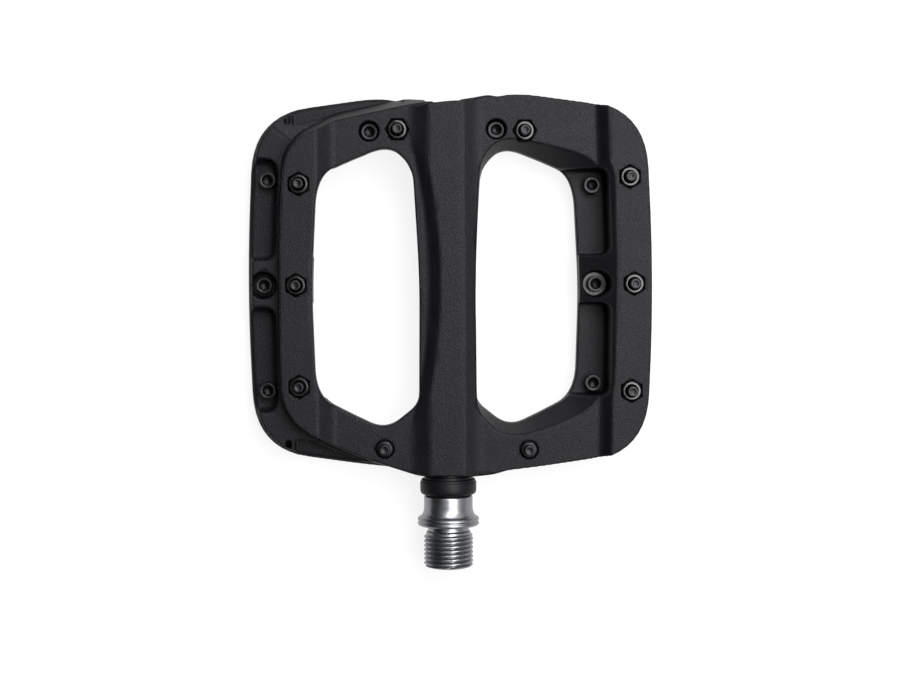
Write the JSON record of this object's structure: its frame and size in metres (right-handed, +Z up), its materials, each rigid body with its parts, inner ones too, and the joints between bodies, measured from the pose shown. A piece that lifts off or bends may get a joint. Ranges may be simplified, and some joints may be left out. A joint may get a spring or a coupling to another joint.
{
  "type": "flat pedal",
  "caption": "Bicycle flat pedal: a moulded platform with traction pins on both faces, spinning on a threaded steel spindle.",
  "frame": {"origin": "middle of the whole pedal, on the spindle axis", "axes": "+Y along the spindle from the crank towards the free end, +Z up through the top platform side, +X to the side that the top of the platform is set over to"},
  "size_m": [0.1164, 0.1359, 0.0238],
  "materials": {
    "nylon": "moulded, fine grain",
    "pin_steel": "black coated steel",
    "nut_steel": "black coated steel with bare edges",
    "spindle_steel": "turned, satin",
    "washer_steel": "bare, bright",
    "seal_rubber": "moulded",
    "bush_polymer": "plain",
    "bearing_steel": "ground"
  },
  "bodies": {
    "spindle": {"spindle": "spindle_steel", "seal_collar": "seal_rubber", "bearing_inner_race": "bearing_steel", "lock_washer": "washer_steel", "lock_nut": "nut_steel"},
    "platform": {"platform": "nylon", "pin_top_outer_outboard": "pin_steel", "nut_top_outer_outboard": "nut_steel", "pin_top_outer_middle": "pin_steel", "nut_top_outer_middle": "nut_steel", "pin_top_outer_inboard": "pin_steel", "nut_top_outer_inboard": "nut_steel", "pin_top_inner_outboard": "pin_steel", "nut_top_inner_outboard": "nut_steel", "pin_top_inner_middle": "pin_steel", "nut_top_inner_middle": "nut_steel", "pin_top_inner_inboard": "pin_steel", "nut_top_inner_inboard": "nut_steel", "pin_top_cross_left": "pin_steel", "nut_top_cross_left": "nut_steel", "pin_top_cross_right": "pin_steel", "nut_top_cross_right": "nut_steel", "pin_top_inboard_left": "pin_steel", "pin_top_inboard_right": "pin_steel", "washer_top": "washer_steel", "pin_bottom_outer_outboard": "pin_steel", "nut_bottom_outer_outboard": "nut_steel", "pin_bottom_outer_middle": "pin_steel", "nut_bottom_outer_middle": "nut_steel", "pin_bottom_outer_inboard": "pin_steel", "nut_bottom_outer_inboard": "nut_steel", "pin_bottom_inner_outboard": "pin_steel", "nut_bottom_inner_outboard": "nut_steel", "pin_bottom_inner_middle": "pin_steel", "nut_bottom_inner_middle": "nut_steel", "pin_bottom_inner_inboard": "pin_steel", "nut_bottom_inner_inboard": "nut_steel", "pin_bottom_cross_left": "pin_steel", "nut_bottom_cross_left": "nut_steel", "pin_bottom_cross_right": "pin_steel", "nut_bottom_cross_right": "nut_steel", "pin_bottom_inboard_left": "pin_steel", "pin_bottom_inboard_right": "pin_steel", "washer_bottom": "washer_steel", "inner_seal": "seal_rubber", "inboard_bush": "bush_polymer", "bearing_outer_race": "bearing_steel", "end_cap": "nylon", "end_cap_ring": "seal_rubber"},
    "bearing_balls": {"bearing_cage": "bush_polymer", "bearing_ball_1": "bearing_steel", "bearing_ball_2": "bearing_steel", "bearing_ball_3": "bearing_steel", "bearing_ball_4": "bearing_steel", "bearing_ball_5": "bearing_steel", "bearing_ball_6": "bearing_steel", "bearing_ball_7": "bearing_steel", "bearing_ball_8": "bearing_steel"}
  },
  "joints": [
    {"name": "platform_spin", "type": "hinge", "parent": "spindle", "child": "platform", "pos_m": [0, 0, 0], "axis": [0, 1, 0], "continuous": true},
    {"name": "bearing_balls_spin", "type": "hinge", "parent": "spindle", "child": "bearing_balls", "pos_m": [0, 0, 0], "axis": [0, 1, 0], "continuous": true}
  ],
  "couplings": [
    {"joint": "bearing_balls_spin", "follows": "platform_spin", "ratio": 0.6245}
  ]
}
